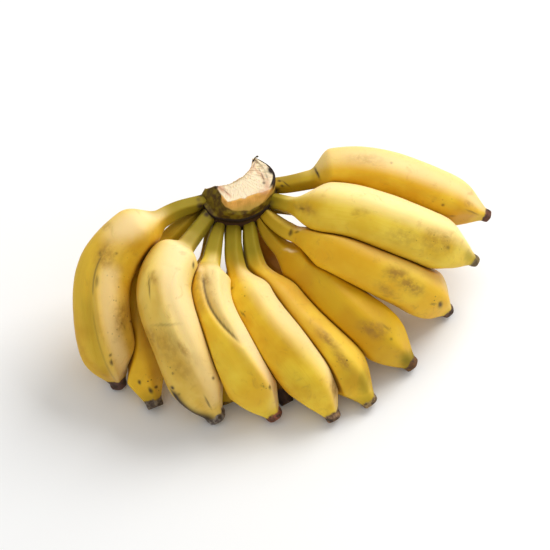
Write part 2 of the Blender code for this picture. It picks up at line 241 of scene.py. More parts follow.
FINGERS: tuple[Finger, ...] = (
    Finger("finger_right_top", 19.5, 36, 17, -5, (
        (15, 9, 76), (36, 11.5, 80), (52, 15, 84.5), (84, 19, 88), (115, 12, 80), (143, 1, 64),
        (176, -12, 42)), Look(
        "#DFB72C", "#CE990D", "#6E4636", outer=0.7, stub_radius=4.2, green_stem=0.6, stub=4.5,
        folds=(Fold(0.80, 0.985, 12, 8, 0.7, 12),),
        marks=(
            *ovals(S, (317, 173, 6.2, 1.3, 66), (286, 184, 5, 0.8, 40, 0.8),
                (279.5, 181, 1.6, 1.3, 0, 0.9), (282, 186, 2.0, 1.2, 30, 0.8),
                (277, 176, 2.2, 1.0, 0, 0.7), (391, 163, 1.5, 0.9, 0, 0.5),
                (443, 205, 1.8, 1.4, 0, 0.8), (452, 216, 3, 0.8, 0, 0.5),
                (472, 212, 6, 0.7, 22, 0.6)),
            *ovals(B, (365, 160, 20, 5, 3, 0.5), (468, 204, 5, 3.5, 20, 0.8)),
            *ovals(K, (455, 208, 25, 12, 20, 0.5))))),
    Finger("finger_right_front", 20.5, 22, 34, 34, (
        (17, 1, 74), (36, -4, 82), (55, -7, 90), (77, -9, 92), (101, -16, 86), (130, -27, 68),
        (167, -44, 36)), Look(
        "#EFD048", "#DCAF1C", "#86744A", outer=0.85, front=2.5, stub_radius=4.0, green_stem=0.95,
        green_neck=0.55,
        marks=(
            *ovals(B, (404, 237, 20, 9, 10, 0.55), (437, 242, 20, 12, 15, 0.7),
                (361, 212, 9, 4, 0, 0.5), (305, 209, 12, 5, 20, 0.8)),
            *ovals(S, (448, 248, 2.2, 2.0, 0, 0.55), (446, 237, 3, 1, 10, 0.35),
                (302, 209, 3, 1.2, 10, 0.6)),
            *ovals(K, (430, 243, 26, 14, 10, 0.6)),
            *ovals(G, (469, 257, 5, 7, 0, 0.5))))),
    Finger("finger_right_low", 20.0, 34, 28, 20, (
        (15, -6, 70), (34, -22, 74), (55, -28, 76), (87, -43.5, 66), (115, -57, 46),
        (147, -79, 1)), Look(
        "#F2C833", "#E6AE1A", "#6E5442", outer=0.35, front=0.5, stub_radius=4.8, green_stem=0.5,
        marks=(
            *ovals(B, (396, 274, 13, 7, 5), (410, 286, 15, 8, 25), (386, 290, 13, 5, 30, 0.7)),
            *ovals(S, (440, 305, 2.6, 3.6, 15, 0.9), (433, 304, 3.2, 1.0, 0, 0.6),
                (291, 233, 2.0, 3.4, 20, 0.8), (297, 232, 2.6, 1.2, -20, 0.6)),
            *ovals(K, (428, 302, 14, 9, 0, 0.8)),
            # Painted highlight
            *ovals(P, (304, 227, 8, 2.2, -12))))),
    Finger("finger_mid_right", 19.5, 31, 26, 12, (
        (11, -8, 68), (28, -33, 62), (49, -50, 54), (73, -73, 44), (98, -96, 27),
        (122, -117, 2)), Look(
        # Darker gold than the other fingers: partly its own ripeness, partly painted shade from the
        # fingers over it
        "#DAAF1A", "#D29E14", "#74502E", outer=0.0, crease_shade=0.35, stub_radius=5.4, green_stem=0.5,
        green_neck=0.95,
        marks=(
            *ovals(B, (374, 329, 16, 8, 15), (376, 335, 7, 5, 0, 0.8)),
            *ovals(S, (391, 339, 1.6, 1.3, 0, 0.6), (386, 327, 5, 1.1, 40, 0.45)),
            *ovals(K, (380, 335, 18, 12, 20, 0.7)),
            # Painted highlight
            *ovals(P, (290, 250.5, 6, 1.6, 10)),
            *ovals(G, (408, 360, 9, 9, 30, 0.9), (380, 312, 24, 9, 48, 0.22))))),
    Finger("finger_mid_front", 20.0, 38, 31, 30, (
        (5, -11, 68), (9, -39, 62), (23, -69, 52), (42, -91, 41), (68, -115, 26),
        (93, -144, 2)), Look(
        "#EBC22B", "#D9A10E", "#A2865A", outer=0.12, front=1.5, stub=3.6, stub_radius=5.6,
        green_stem=0.95, green_neck=0.5,
        marks=(
            *ovals(B, (327, 339, 17, 5, 42), (342, 360, 14, 5, 52)),
            *ovals(K, (350, 368, 14, 14, 40)),
            *ovals(G, (364, 382, 8, 14, 0, 0.55), (352, 378, 16, 12, 40, 0.25))))),
    Finger("finger_centre_right", 20.0, 43, 27, 22, (
        (-3.5, -11, 68), (-4, -43, 64), (8.5, -73, 57), (26, -98, 47), (46, -122, 30),
        (67, -155, 2)), Look(
        "#F4D037", "#DBA30D", "#A07E5C", outer=0.8, front=3.6, stub_radius=5.2, green_stem=0.95,
        marks=(
            *ovals(S, (232.5, 288, 1.3, 1.5, 0, 0.6), (243, 314, 4, 1.0, 50, 0.7)),
            *ovals(B, (334, 388, 9, 3.2, 80)),
            *ovals(K, (240, 305, 10, 22, 0, 0.6)),
            *ovals(G, (300, 350, 10, 25, -40, 0.12), (300, 385, 26, 12, 45, 0.15))))),
    Finger("finger_centre", 20.0, 42, 19, 25, (
        (-13, -10, 68), (-20.5, -43, 68), (-22, -76, 64), (-8, -104, 51), (8, -129, 28),
        (26, -153, 1)), Look(
        "#F2D03E", "#E4B320", "#9A5C46", outer=1.0, front=2.4, crease_shade=0.45, stub_radius=6.0,
        green_stem=0.9, sharp=0.65,
        folds=(Fold(0.30, 0.64, 13, -28, -2.6, 7), Fold(0.24, 0.62, -10, -44, 1.6, 12),
            Fold(0.50, 0.97, -24, -27, 1.7, 10), Fold(0.20, 0.34, 46, 44, 2.0, 15)),
        # Painted shade: a dark line along the furrow, and brown on top of the left lobe. The last
        # stripe is a painted highlight on the lit right face.
        stripes=(Stripe(S, 0.34, 0.63, 11, -28, 0.9, 0.75), Stripe(B, 0.25, 0.50, 30, 14, 5, 0.55),
            Stripe(P, 0.55, 0.95, -46, -50, 7, 0.75)),
        marks=(
            # Painted shade under the knuckle
            *ovals(B, (203, 279, 8, 5, 30, 0.9)),
            *ovals(S, (226, 405, 3.2, 1.4, -5), (233, 407, 1.8, 2.2, 20, 0.7),
                (270, 387, 1.5, 2.2, 0, 0.9), (263, 386, 2.4, 0.9, 30, 0.6),
                (205, 391, 2.6, 2.0, 30, 0.6)),
            *ovals(K, (264, 388, 9, 6, 0, 0.8), (206, 375, 5, 8, 0, 0.8)),
            # Painted highlight on the knuckle's curl
            *ovals(P, (198, 268, 6, 3, 0, 0.7))))),
    Finger("finger_left_front", 20.5, 37.5, 18, 27, (
        (-19, -8, 72), (-40, -35, 76), (-53, -66, 76), (-43.5, -96, 62), (-32, -124, 36),
        (-15, -154, 0)), Look(
        "#F0D06A", "#DAAE3A", "#887E74", outer=1.0, front=4.5, crease_shade=0.4, stub_radius=7.4,
        green_stem=0.95, stub=6.0, neck=0.75,
        folds=(Fold(0.38, 0.97, 8, -13, 1.7, 10), Fold(0.40, 0.90, 34, 14, -0.7, 13),
            Fold(0.86, 0.99, -24, -18, -0.9, 9), Fold(0.83, 0.985, -66, -58, -3.4, 20)),
        # Painted shade: a dark strip along the lower left edge. The second stripe is a painted
        # highlight on the lit right face.
        stripes=(Stripe(S, 0.745, 0.985, 61, 44, 5.5, 1.0),
            Stripe(P, 0.35, 0.92, -20, -32, 9, 0.5)),
        marks=(
            *ovals(S, (150, 286, 11, 0.9, 86, 0.75), (193.5, 265, 3.6, 1.1, 92, 0.85),
                (166, 324.5, 14, 1.3, -3, 0.3), (173, 387, 2.4, 1.8, 20),
                (179, 394, 1.6, 1.6, 0, 0.7), (173.5, 373, 1.4, 1.2, 0, 0.7),
                (213.5, 377.5, 1.4, 1.8, 0, 0.9), (208, 402, 7, 0.9, 62, 0.8)),
            *ovals(B, (154, 277, 7, 4, 80, 0.8), (151, 336, 10, 7, 60, 0.75),
                (184, 349, 12, 3.6, 52, 0.8), (168, 345, 20, 12, 60, 0.6),
                (182, 368, 16, 8, 50, 0.5), (190, 361, 8, 10, 50, 0.3)),
            *ovals(K, (152, 335, 10, 14), (168, 368, 14, 8, 30, 0.5))))),
    Finger("finger_left_low", 18.5, 34, 24, 10, (
        (-25, -6, 66), (-45, -22, 64), (-63, -45, 52), (-72, -71, 38), (-72, -102, 26),
        (-58, -147, 3)), Look(
        "#F0C42A", "#DCA616", "#7E7260", outer=0.2, front=-1.0, stub_radius=5.6, green_stem=0.6,
        green_neck=0.45,
        marks=(
            *ovals(S, (140, 382, 2.0, 1.5, 60, 0.9), (151, 390, 3.6, 1.7, 60, 0.9),
                (156.5, 386.5, 1.8, 1.4, 0, 0.9), (133, 344, 5, 1.2, 100, 0.9)),
            *ovals(K, (150, 385, 14, 10))))),
    Finger("finger_left_side", 20.5, 38, 24, 2, (
        (-24, -2, 74), (-41, -6, 79), (-58, -15, 83), (-80, -30.5, 81.5), (-94, -49, 74),
        (-97, -74, 60), (-93, -102, 36), (-84, -131, 0)), Look(
        "#E4BA34", "#CB9714", "#624640", outer=1.0, front=1.5, neck=0.75, stub_radius=5.6,
        green_stem=0.9, sharp=0.6, stub=9.0,
        folds=(Fold(0.42, 0.97, 16, -8, 2.6, 7), Fold(0.42, 0.95, 31, 12, -1.8, 9)),
        # The pale stripe is a painted highlight on the lit right face
        stripes=(Stripe(S, 0.47, 0.60, 19, 15, 0.8, 0.6), Stripe(P, 0.45, 0.96, -10, -30, 8, 0.6),
            Stripe(G, 0.58, 0.90, 30, 18, 6.5, 0.2), Stripe(S, 0.62, 0.94, 19, 5, 0.8, 0.25)),
        marks=(
            # Painted highlight on the top
            *ovals(P, (128, 226, 26, 14, -15, 0.5)),
            *ovals(B, (106, 256, 11, 13, 20, 0.9), (122, 318, 7, 18, 8, 0.85),
                (122, 330, 5, 6, 0, 0.6), (107, 226, 6, 4, -30, 0.6), (119, 270, 8, 16, 0, 0.35)),
            *ovals(S, (98, 281, 6.5, 1.7, 96, 0.55), (101, 254, 2.2, 0.9, 90, 0.6),
                (117, 253.5, 1.3, 1.3, 0, 0.6), (124, 325, 5, 1.2, 60, 0.35),
                (131.5, 321, 1.4, 1.2, 0, 0.8), (111, 355, 1.6, 1.6, 0, 0.9),
                (112, 362.5, 3.2, 1.5, 80, 0.9)),
            *ovals(K, (120, 300, 14, 50, 0, 0.6))))),
    Finger("finger_under_left", 17.0, 36, 24, 0, (
        (-17.5, -8, 58), (-22, -43, 50), (-29, -77, 40), (-22.5, -108, 25), (-10, -143, 3)), Look(
        "#F2C61E", "#DCA814", "#A8841C", crease_shade=0.2, outer=0.0, front=1.5, green_neck=0.3,
        stub=1.0, neck=0.0, stub_radius=8.5, trim=1.0)),
    Finger("finger_under_centre", 17.0, 36, 24, 0, (
        (-8, -10, 56), (-3, -43, 42), (4, -77, 28), (17, -111, 19), (34, -144, 4)), Look(
        # Darkened, browner peel: painted shade, for a finger that lies in shade under the front row
        "#B88C15", "#946607", "#3E2A20", outer=0.0, front=-2.0, stub=9.0, stub_radius=6.5)),
    Finger("finger_under_mid", 17.0, 34, 26, 0, (
        (6, -8, 58), (14, -32, 42), (30, -58, 28), (55, -82, 19), (84, -102, 8)), Look(
        # Darkened, browner peel: painted shade, for a finger seen in shade through the gap between
        # stems
        "#C08413", "#985C08", outer=0.0, front=-2.0, green_stem=0.2)),
    Finger("finger_under_right", 17.0, 34, 26, 0, (
        (8, -2, 66), (34, -4, 60), (62, -6, 52), (95, -14, 41), (125, -22, 22),
        (148, -29, 0)), Look(
        "#DDB023", "#C48E0D", outer=0.2, front=-2.0)),
)


def smooth_step(x: np.ndarray) -> np.ndarray:
    """0 below 0, 1 above 1, and between them three squares less two cubes."""
    x = np.clip(x, 0.0, 1.0)
    return x * x * (3 - 2 * x)


def soft_least(a: np.ndarray, b: np.ndarray, softness: float) -> np.ndarray:
    """The smaller of two arrays, rounded over this many millimetres where they meet."""
    return -softness * np.logaddexp(-a / softness, -b / softness)


def soft_most(a: np.ndarray, b: np.ndarray, softness: float) -> np.ndarray:
    """The larger of two arrays, rounded over this many millimetres where they meet."""
    return softness * np.logaddexp(a / softness, b / softness)


def lattice_noise(points: np.ndarray, size: float, seed: int) -> np.ndarray:
    """Smooth noise from -1 to 1: random values on a cubic lattice, blended between corners.

    Args:
        points: Places, with three coordinates on the last axis.
        size: The lattice spacing, in the units of the points.
        seed: Which noise.

    Returns:
        One value for each place.
    """
    scaled = points / size
    cell = np.floor(scaled).astype(np.int64)
    part = scaled - cell
    fade = part * part * (3 - 2 * part)
    total = np.zeros(points.shape[:-1])
    for corner in np.ndindex(2, 2, 2):
        at = cell + np.array(corner)
        mixed = at[..., 0] * 73856093 ^ at[..., 1] * 19349663 ^ at[..., 2] * 83492791
        mixed = mixed ^ seed * 2654435761
        mixed = (mixed ^ (mixed >> 13)) * 1274126177 & 0xFFFFFFFF
        mixed = (mixed ^ (mixed >> 16)) & 0xFFFF
        weight = np.prod(np.where(np.array(corner) == 1, fade, 1 - fade), axis=-1)
        total += weight * (mixed / 32767.5 - 1.0)
    return total


def run_lengths(points: np.ndarray) -> np.ndarray:
    """The distance from the first point to each point along the straight runs between them."""
    runs = np.linalg.norm(np.diff(points, axis=0), axis=1)
    return np.concatenate([[0.0], np.cumsum(runs)])


def laid_out(across: float, up: float, height: float) -> tuple[float, float, float]:
    """The point in space that the sight line shows at (across, up) and at this height."""
    rise = height - CROWN_HEIGHT
    away = (up - rise * math.cos(SIGHT_ELEVATION)) / math.sin(SIGHT_ELEVATION)
    return (across, away, height)


def seen(points: np.ndarray) -> tuple[np.ndarray, np.ndarray]:
    """The picture's column and row at which the sight line shows each point."""
    rise = points[..., 2] - CROWN_HEIGHT
    up = points[..., 1] * math.sin(SIGHT_ELEVATION) + rise * math.cos(SIGHT_ELEVATION)
    return SIGHT_COLUMN + points[..., 0] / SIGHT_SCALE, SIGHT_ROW - up / SIGHT_SCALE


def spline(points: np.ndarray, count: int) -> tuple[np.ndarray, float]:
    """A natural cubic spline through the points, at this many even steps of its length.

    Args:
        points: The points that it passes through.
        count: How many places to read.

    Returns:
        The places, and the whole length.
    """
    knots = run_lengths(points)
    last = len(points) - 1
    gaps = np.diff(knots)
    matrix = np.eye(last + 1)
    right = np.zeros_like(points)
    for i in range(1, last):
        matrix[i, i - 1:i + 2] = gaps[i - 1], 2 * (gaps[i - 1] + gaps[i]), gaps[i]
        slopes = (points[i + 1] - points[i]) / gaps[i], (points[i] - points[i - 1]) / gaps[i - 1]
        right[i] = 6 * (slopes[0] - slopes[1])
    bend = np.linalg.solve(matrix, right)

    def at(where: np.ndarray) -> np.ndarray:
        """The spline's points at these distances along its chords."""
        i = np.clip(np.searchsorted(knots, where, side="right") - 1, 0, last - 1)
        width = gaps[i][:, None]
        after = (where - knots[i])[:, None]
        before = width - after
        cubic = (bend[i] * before**3 + bend[i + 1] * after**3) / (6 * width)
        line = points[i] * (before / width) + points[i + 1] * (after / width)
        return cubic + line - width / 6 * (bend[i] * before + bend[i + 1] * after)

    dense = np.linspace(0.0, knots[-1], SPLINE_STEPS)
    length = run_lengths(at(dense))
    even = np.interp(np.linspace(0.0, length[-1], count), length, dense)
    return at(even), float(length[-1])


def solid_radius(finger: Finger, along: np.ndarray, length: float) -> np.ndarray:
    """The solid's radius: stem, shoulder, body, and a rounded taper to the tip."""
    grown = smooth_step((along - finger.stem) / finger.shoulder)
    stem = STEM_ROOT_RADIUS + STEM_WIDENING * along
    body = stem + (finger.radius - stem) * grown
    tapered = np.clip((along - length + TIP_LENGTH + TAPER_LENGTH) / TAPER_LENGTH, 0.0, 1.0)
    share = (1 - tapered**TAPER_START) ** TAPER_ROUNDNESS
    return TIP_RADIUS + (body - TIP_RADIUS) * share


class Centreline:
    """The smooth path of a finger with its length, radius and frame at each sample."""

    def __init__(self, finger: Finger) -> None:
        """Lays the path out and turns its frame to face the sight line."""
        points = np.array([laid_out(*point) for point in finger.points])
        self.points, self.length = spline(points, AXIS_SAMPLES)
        self.along = np.linspace(0.0, self.length, AXIS_SAMPLES)
        self.radius = solid_radius(finger, self.along, self.length)
        tangent = np.gradient(self.points, axis=0)
        self.tangent = tangent / np.linalg.norm(tangent, axis=1, keepdims=True)
        facing = FRONT - (self.tangent @ FRONT)[:, None] * self.tangent
        self.facing = facing / np.linalg.norm(facing, axis=1, keepdims=True)
        self.flank = np.cross(self.tangent, self.facing)
        self.front = finger.look.front

    def read(self, values: np.ndarray, where: np.ndarray) -> np.ndarray:
        """The values, one row for each sample, read at these distances along the line."""
        return np.stack([np.interp(where, self.along, column) for column in values.T], axis=1)

    def rays(self, where: np.ndarray, turn: np.ndarray) -> np.ndarray:
        """Unit directions out of the line: cosine of the turn facing, sine of it sideways."""
        facing = self.read(self.facing, where)[:, None, :]
        flank = self.read(self.flank, where)[:, None, :]
        return np.cos(turn)[None, :, None] * facing + np.sin(turn)[None, :, None] * flank

    def depth_outside(self, points: np.ndarray) -> np.ndarray:
        """How far points are outside the round finger: least of distance less radius."""
        square = (points**2).sum(axis=-1)[..., None] + (self.points**2).sum(axis=1)
        square = square - 2 * points @ self.points.T
        return (np.sqrt(np.maximum(square, 0.0)) - self.radius).min(axis=-1)


def near(line: Centreline, other: Centreline) -> bool:
    """Whether two fingers come close enough to press on each other."""
    apart = np.linalg.norm(line.points[:, None, :] - other.points[None, :, :], axis=2)
    reach = line.radius[:, None] + other.radius[None, :]
    return bool((apart - reach).min() < PRESS_REACH)


def resampled(values: np.ndarray, rows: np.ndarray, columns: np.ndarray) -> np.ndarray:
    """A grid read between its values, straight along rows and round along columns."""
    top = np.clip(rows.astype(int), 0, values.shape[0] - 2)
    left = columns.astype(int)
    down = np.clip(rows - top, 0.0, 1.0)[:, None]
    over = (columns - left)[None, :]
    left, right = left % values.shape[1], (left + 1) % values.shape[1]
    upper = values[top][:, left] * (1 - over) + values[top][:, right] * over
    lower = values[top + 1][:, left] * (1 - over) + values[top + 1][:, right] * over
    return upper * (1 - down) + lower * down


def closed_mesh(name: str, grid: np.ndarray) -> bpy.types.Mesh:
    """A closed mesh from rings of points in millimetres, with a fan at each end.

    Args:
        name: The mesh's name.
        grid: Rings by sides by three coordinates, each ring turning to the right of the path.

    Returns:
        The mesh, smooth shaded and in metres.
    """
    rings, sides = grid.shape[:2]
    ends = np.array([grid[0].mean(axis=0), grid[-1].mean(axis=0)])
    points = np.concatenate([grid.reshape(-1, 3), ends]) * MM
    index = np.arange(rings * sides).reshape(rings, sides)
    here, after = index[:-1], index[1:]
    quads = np.stack([here, np.roll(here, -1, axis=1), np.roll(after, -1, axis=1), after], axis=2)
    first, last = index[0], index[-1]
    start_fan = np.stack([np.full(sides, rings * sides), np.roll(first, -1), first], axis=1)
    end_fan = np.stack([np.full(sides, rings * sides + 1), last, np.roll(last, -1)], axis=1)
    mesh = bpy.data.meshes.new(name)
    faces = quads.reshape(-1, 4).tolist() + start_fan.tolist() + end_fan.tolist()
    mesh.from_pydata(points.tolist(), [], faces)
    mesh.update()
    mesh.shade_smooth()
    return mesh


def paint(mesh: bpy.types.Mesh, name: str, values: np.ndarray) -> None:
    """Stores a value, or a vector, for each grid point; each end takes its ring's mean."""
    kind = "FLOAT_VECTOR" if values.ndim == 3 else "FLOAT"
    flat = values.reshape(-1, *values.shape[2:])
    ends = np.array([values[0].mean(axis=0), values[-1].mean(axis=0)])
    layer = mesh.attributes.new(name, kind, "POINT")
    field = "vector" if kind == "FLOAT_VECTOR" else "value"
    layer.data.foreach_set(field, np.concatenate([flat, ends]).astype(np.float32).ravel())


def linear(code: str) -> tuple[float, float, float, float]:
    """An sRGB hex colour as linear red, green, blue and full alpha."""
    parts = [int(code[i:i + 2], 16) / 255 for i in (1, 3, 5)]
    red, green, blue = (c / 12.92 if c <= 0.04045 else ((c + 0.055) / 1.055) ** 2.4 for c in parts)
    return (red, green, blue, 1.0)


class Shading:
    """A node material while it is made: its tree and its Principled shader."""

    def __init__(self, name: str) -> None:
        """Makes an empty node material."""
        self.material = bpy.data.materials.new(name)
        self.material.use_nodes = True
        self.tree = self.material.node_tree
        self.shader = self.tree.nodes["Principled BSDF"]

    def node(self, kind: str, inputs: dict[Any, Any], **settings: Any) -> bpy.types.Node:
        """Adds a shader node with its settings, values and links.

        Args:
            kind: The node's type, without the ShaderNode before it.
            inputs: A value, or another node's output socket, for each input by name or number.
            settings: The node's own properties.

        Returns:
            The new node.
        """
        node = self.tree.nodes.new("ShaderNode" + kind)
        for name, value in settings.items():
            setattr(node, name, value)
        for name, value in inputs.items():
            if isinstance(value, bpy.types.NodeSocket):
                self.tree.links.new(value, node.inputs[name])
            else:
                node.inputs[name].default_value = value
        return node

    def link(self, found: bpy.types.NodeSocket, name: str) -> None:
        """Links a socket to an input of the shader."""
        self.tree.links.new(found, self.shader.inputs[name])

    def math(self, operation: str, first: Any, second: Any) -> bpy.types.NodeSocket:
        """Two values joined by an operation."""
        return self.node("Math", {0: first, 1: second}, operation=operation).outputs[0]

    def times(self, first: Any, second: Any) -> bpy.types.NodeSocket:
        """The product of two values."""
        return self.math("MULTIPLY", first, second)

    def ranged(self, value: Any, low: float, high: float, start: float = 0.0,
               end: float = 1.0) -> bpy.types.NodeSocket:
        """A value stretched smoothly from one range to another."""
        return self.node("MapRange", {0: value, 1: low, 2: high, 3: start, 4: end},
                         interpolation_type="SMOOTHSTEP").outputs[0]

    def stored(self, name: str) -> bpy.types.NodeSocket:
        """A float that the mesh stores at its points."""
        return self.node("Attribute", {}, attribute_name=name).outputs["Fac"]

    def noise(self, place: Any, size: float, detail: float, **more: float) -> bpy.types.NodeSocket:
        """Noise with lumps of this many millimetres."""
        inputs = {"Vector": place, "Scale": per_mm(size), "Detail": detail, **more}
        return self.node("TexNoise", inputs).outputs["Fac"]

    def stretched(self, place: Any, **inputs: Any) -> bpy.types.NodeSocket:
        """Coordinates scaled, and turned, each way by its own share."""
        return self.node("Mapping", {"Vector": place, **inputs}).outputs["Vector"]

    def mixed(self, share: Any, first: Any, second: Any) -> bpy.types.NodeSocket:
        """A mix of two colours by a share. A colour is a socket or an sRGB hex code."""
        first, second = (linear(c) if isinstance(c, str) else c for c in (first, second))
        return self.node("Mix", {0: share, 6: first, 7: second}, data_type="RGBA").outputs[2]

    def layered(self, colour: Any, *layers: tuple[Any, Any]) -> bpy.types.NodeSocket:
        """A colour with others laid over it in turn, each by its share."""
        for share, cover in layers:
            colour = self.mixed(share, colour, cover)
        return colour

    def bump(self, height: Any, strength: float, distance: float) -> None:
        """Roughens the shading by a height, over this many millimetres."""
        inputs = {"Height": height, "Strength": strength, "Distance": distance * MM}
        self.link(self.node("Bump", inputs).outputs["Normal"], "Normal")


def per_mm(size: float) -> float:
    """The noise scale, on coordinates in metres, whose lumps are this many millimetres."""
    return 1.0 / (size * MM)


@dataclass(frozen=True)
class BananaPeel:
    """Ripe banana peel: a waxy yellow skin over soft flesh, grown in five faces.

    It gives the eye a satin sheen, faint fibres along the finger, green where it is less
    ripe at the stem and neck, brown bruises and specks, and a dry stub at the tip. A lighter
    tone on the side that faces the key light is a painted highlight, as are the pale marks, and
    the gold and dark brown where fingers press are painted shade, with a little of the peel's
    own browning.
    """

    # Painted highlight: the lighter tone laid on the side that faces the key light
    outer: str = "#F8DFA2"
    green: str = "#84740C"
    # Painted shade where fingers press: gold, then dark brown deeper in, with a little of the
    # peel's own browning
    contact_shade_gold: str = "#C48C0C"
    crease_shade: str = "#70430A"
    bruise: str = "#A0742C"
    scar: str = "#33220F"
    # Darker where the stems meet the crown
    root_darkening: str = "#43301F"
    dry: str = "#43342A"
    # Painted highlight, laid by the pale marks and stripes
    painted_highlight_pale: str = "#F6D9A0"
    roughness: float = 0.5
    matt_roughness: float = 0.8
    ior: float = 1.45

    def material(self, look: Look, name: str) -> bpy.types.Material:
        """The peel of one finger, in its own pale and deep yellow."""
        made = Shading(name)
        stored, ranged, times = made.stored, made.ranged, made.times
        place = made.node("Attribute", {}, attribute_name="straight").outputs["Vector"]
        # Cloudy ripeness, lumps of about 28 mm
        cloud = made.noise(place, 28, 3.0)
        # Fibres 0.9 mm wide and 22 mm long, drawn coarser than real ones so that they show
        fibre = made.noise(made.stretched(place, Scale=(1.0, 1.0, 0.04)), 0.9, 4.0)
        # Dots of 1 mm, about 5 mm apart
        dots = made.node("TexVoronoi", {"Vector": place, "Scale": per_mm(4.2), "Randomness": 1.0})
        spots = ranged(dots.outputs["Distance"], 0.10, 0.18, 1.0, 0.0)
        blotch = made.noise(place, 3.4, 5.0, Roughness=0.62)
        # Worn patches of about 9 mm, faint
        wear = made.noise(place, 9, 7.0, Roughness=0.66, Distortion=0.8)
        bruised = times(stored("bruise"), ranged(blotch, 0.30, 0.64, 0.30, 0.85))
        colour = made.layered(
            made.mixed(ranged(cloud, 0.32, 0.68), look.deep, look.pale),
            (times(ranged(fibre, 0.45, 0.75), 0.22), look.deep),
            # Painted highlight on the side that faces the key light
            (times(stored("outer"), look.outer), self.outer),
            # Painted shade where fingers press: gold, then dark brown deeper in
            (times(stored("pressed"), 0.7), self.contact_shade_gold),
            (times(stored("deep"), 0.9), self.crease_shade),
            (times(stored("crest"), 0.16), look.pale),
            # Painted highlights of the pale marks and stripes
            (stored("pale"), self.painted_highlight_pale),
            (stored("green"), self.green),
            # Bruises, with a few painted shade marks among them
            (bruised, self.bruise),
            (ranged(wear, 0.54, 0.74, 0.0, 0.30), self.bruise),
            (times(times(spots, stored("specks")), 0.8), self.scar),
            # Darker where the stems meet the crown
            (stored("root"), self.root_darkening),
            # Scars, with a few painted shade marks among them
            (stored("scar"), self.scar),
            (stored("tip"), made.mixed(ranged(blotch, 0.35, 0.65), look.tip, self.dry)))
        made.link(colour, "Base Color")
        matt = made.math("MAXIMUM", stored("tip"), stored("green"))
        made.link(ranged(matt, 0.0, 1.0, self.roughness, self.matt_roughness), "Roughness")
        shader = made.shader
        shader.inputs["IOR"].default_value = self.ior
        shader.inputs["Subsurface Weight"].default_value = 0.12
        shader.inputs["Subsurface Radius"].default_value = (1.0, 0.45, 0.08)
        shader.inputs["Subsurface Scale"].default_value = 2.5 * MM
        shader.inputs["Specular IOR Level"].default_value = 0.24
        shader.inputs["Coat Weight"].default_value = 0.06
        shader.inputs["Coat Roughness"].default_value = 0.5
        made.bump(made.math("ADD", made.noise(place, 1.1, 6.0), fibre), 0.28, 0.25)
        return made.material


@dataclass(frozen=True)
class CutCrown:
    """The crown of a hand, cut through with a knife: wet, fibrous, cream flesh in an olive skin.

    It gives the eye pale torn fibres on the face, a tan band where the cut is drying, a dark
    olive side and a near black rim.
    """

    cream: str = "#EAD8B4"
    torn: str = "#CDA47C"
    pink: str = "#C8906C"
    tan: str = "#DFA650"
    tan_dark: str = "#C89440"
    tan_foot: str = "#A8923A"
    olive: str = "#7E6A0E"
    olive_dark: str = "#4C350A"
    collar: str = "#4A3226"
    rim: str = "#24140A"

    def material(self) -> bpy.types.Material:
        """The crown's finish, whose zones the mesh stores."""
        made = Shading("cut_crown_flesh")
        stored, ranged, times = made.stored, made.ranged, made.times
        place = made.node("TexCoord", {}).outputs["Object"]
        # Torn fibres 0.8 mm wide, lying across the crown
        drawn = made.stretched(place, Scale=(1.0, 0.28, 0.28), Rotation=(0.0, 0.0, 0.6))
        fibre = made.noise(drawn, 0.8, 5.0)
        cloud = made.noise(place, 5.0, 4.0)
        tan = made.mixed(ranged(cloud, 0.4, 0.7), self.tan, self.tan_dark)
        dry = made.mixed(ranged(fibre, 0.42, 0.66, 0.0, 0.75), self.torn, self.tan_dark)
        colour = made.layered(
            made.mixed(ranged(cloud, 0.35, 0.65), self.olive, self.olive_dark),
            (stored("inside"), made.mixed(ranged(cloud, 0.46, 0.68, 0.0, 0.6), dry, self.olive)),
            (stored("band"), made.mixed(times(stored("foot"), 0.75), tan, self.tan_foot)),
            (stored("face"), made.mixed(ranged(fibre, 0.5, 0.72, 0.0, 0.6), self.cream, self.torn)),
            (times(stored("bruise"), 0.8), self.pink),
            (stored("collar"), self.collar),
            (stored("scar"), self.rim),
            (stored("rim"), self.rim))
        made.link(colour, "Base Color")
        shader = made.shader
        shader.inputs["Roughness"].default_value = 0.62
        shader.inputs["Specular IOR Level"].default_value = 0.25
        shader.inputs["Subsurface Weight"].default_value = 0.15
        shader.inputs["Subsurface Radius"].default_value = (1.0, 0.6, 0.25)
        shader.inputs["Subsurface Scale"].default_value = 2.0 * MM
        made.bump(fibre, 0.5, 0.5)
        return made.material


@dataclass(frozen=True)
class MattPaper:
    """Matt white studio paper, with no texture that shows at this distance."""

    white: str = "#F4F4F3"

    def material(self) -> bpy.types.Material:
        """The floor's finish."""
        made = Shading("matt_white_paper")
        shader = made.shader
        shader.inputs["Base Color"].default_value = linear(self.white)
        shader.inputs["Roughness"].default_value = 0.9
        shader.inputs["Specular IOR Level"].default_value = 0.1
        return made.material


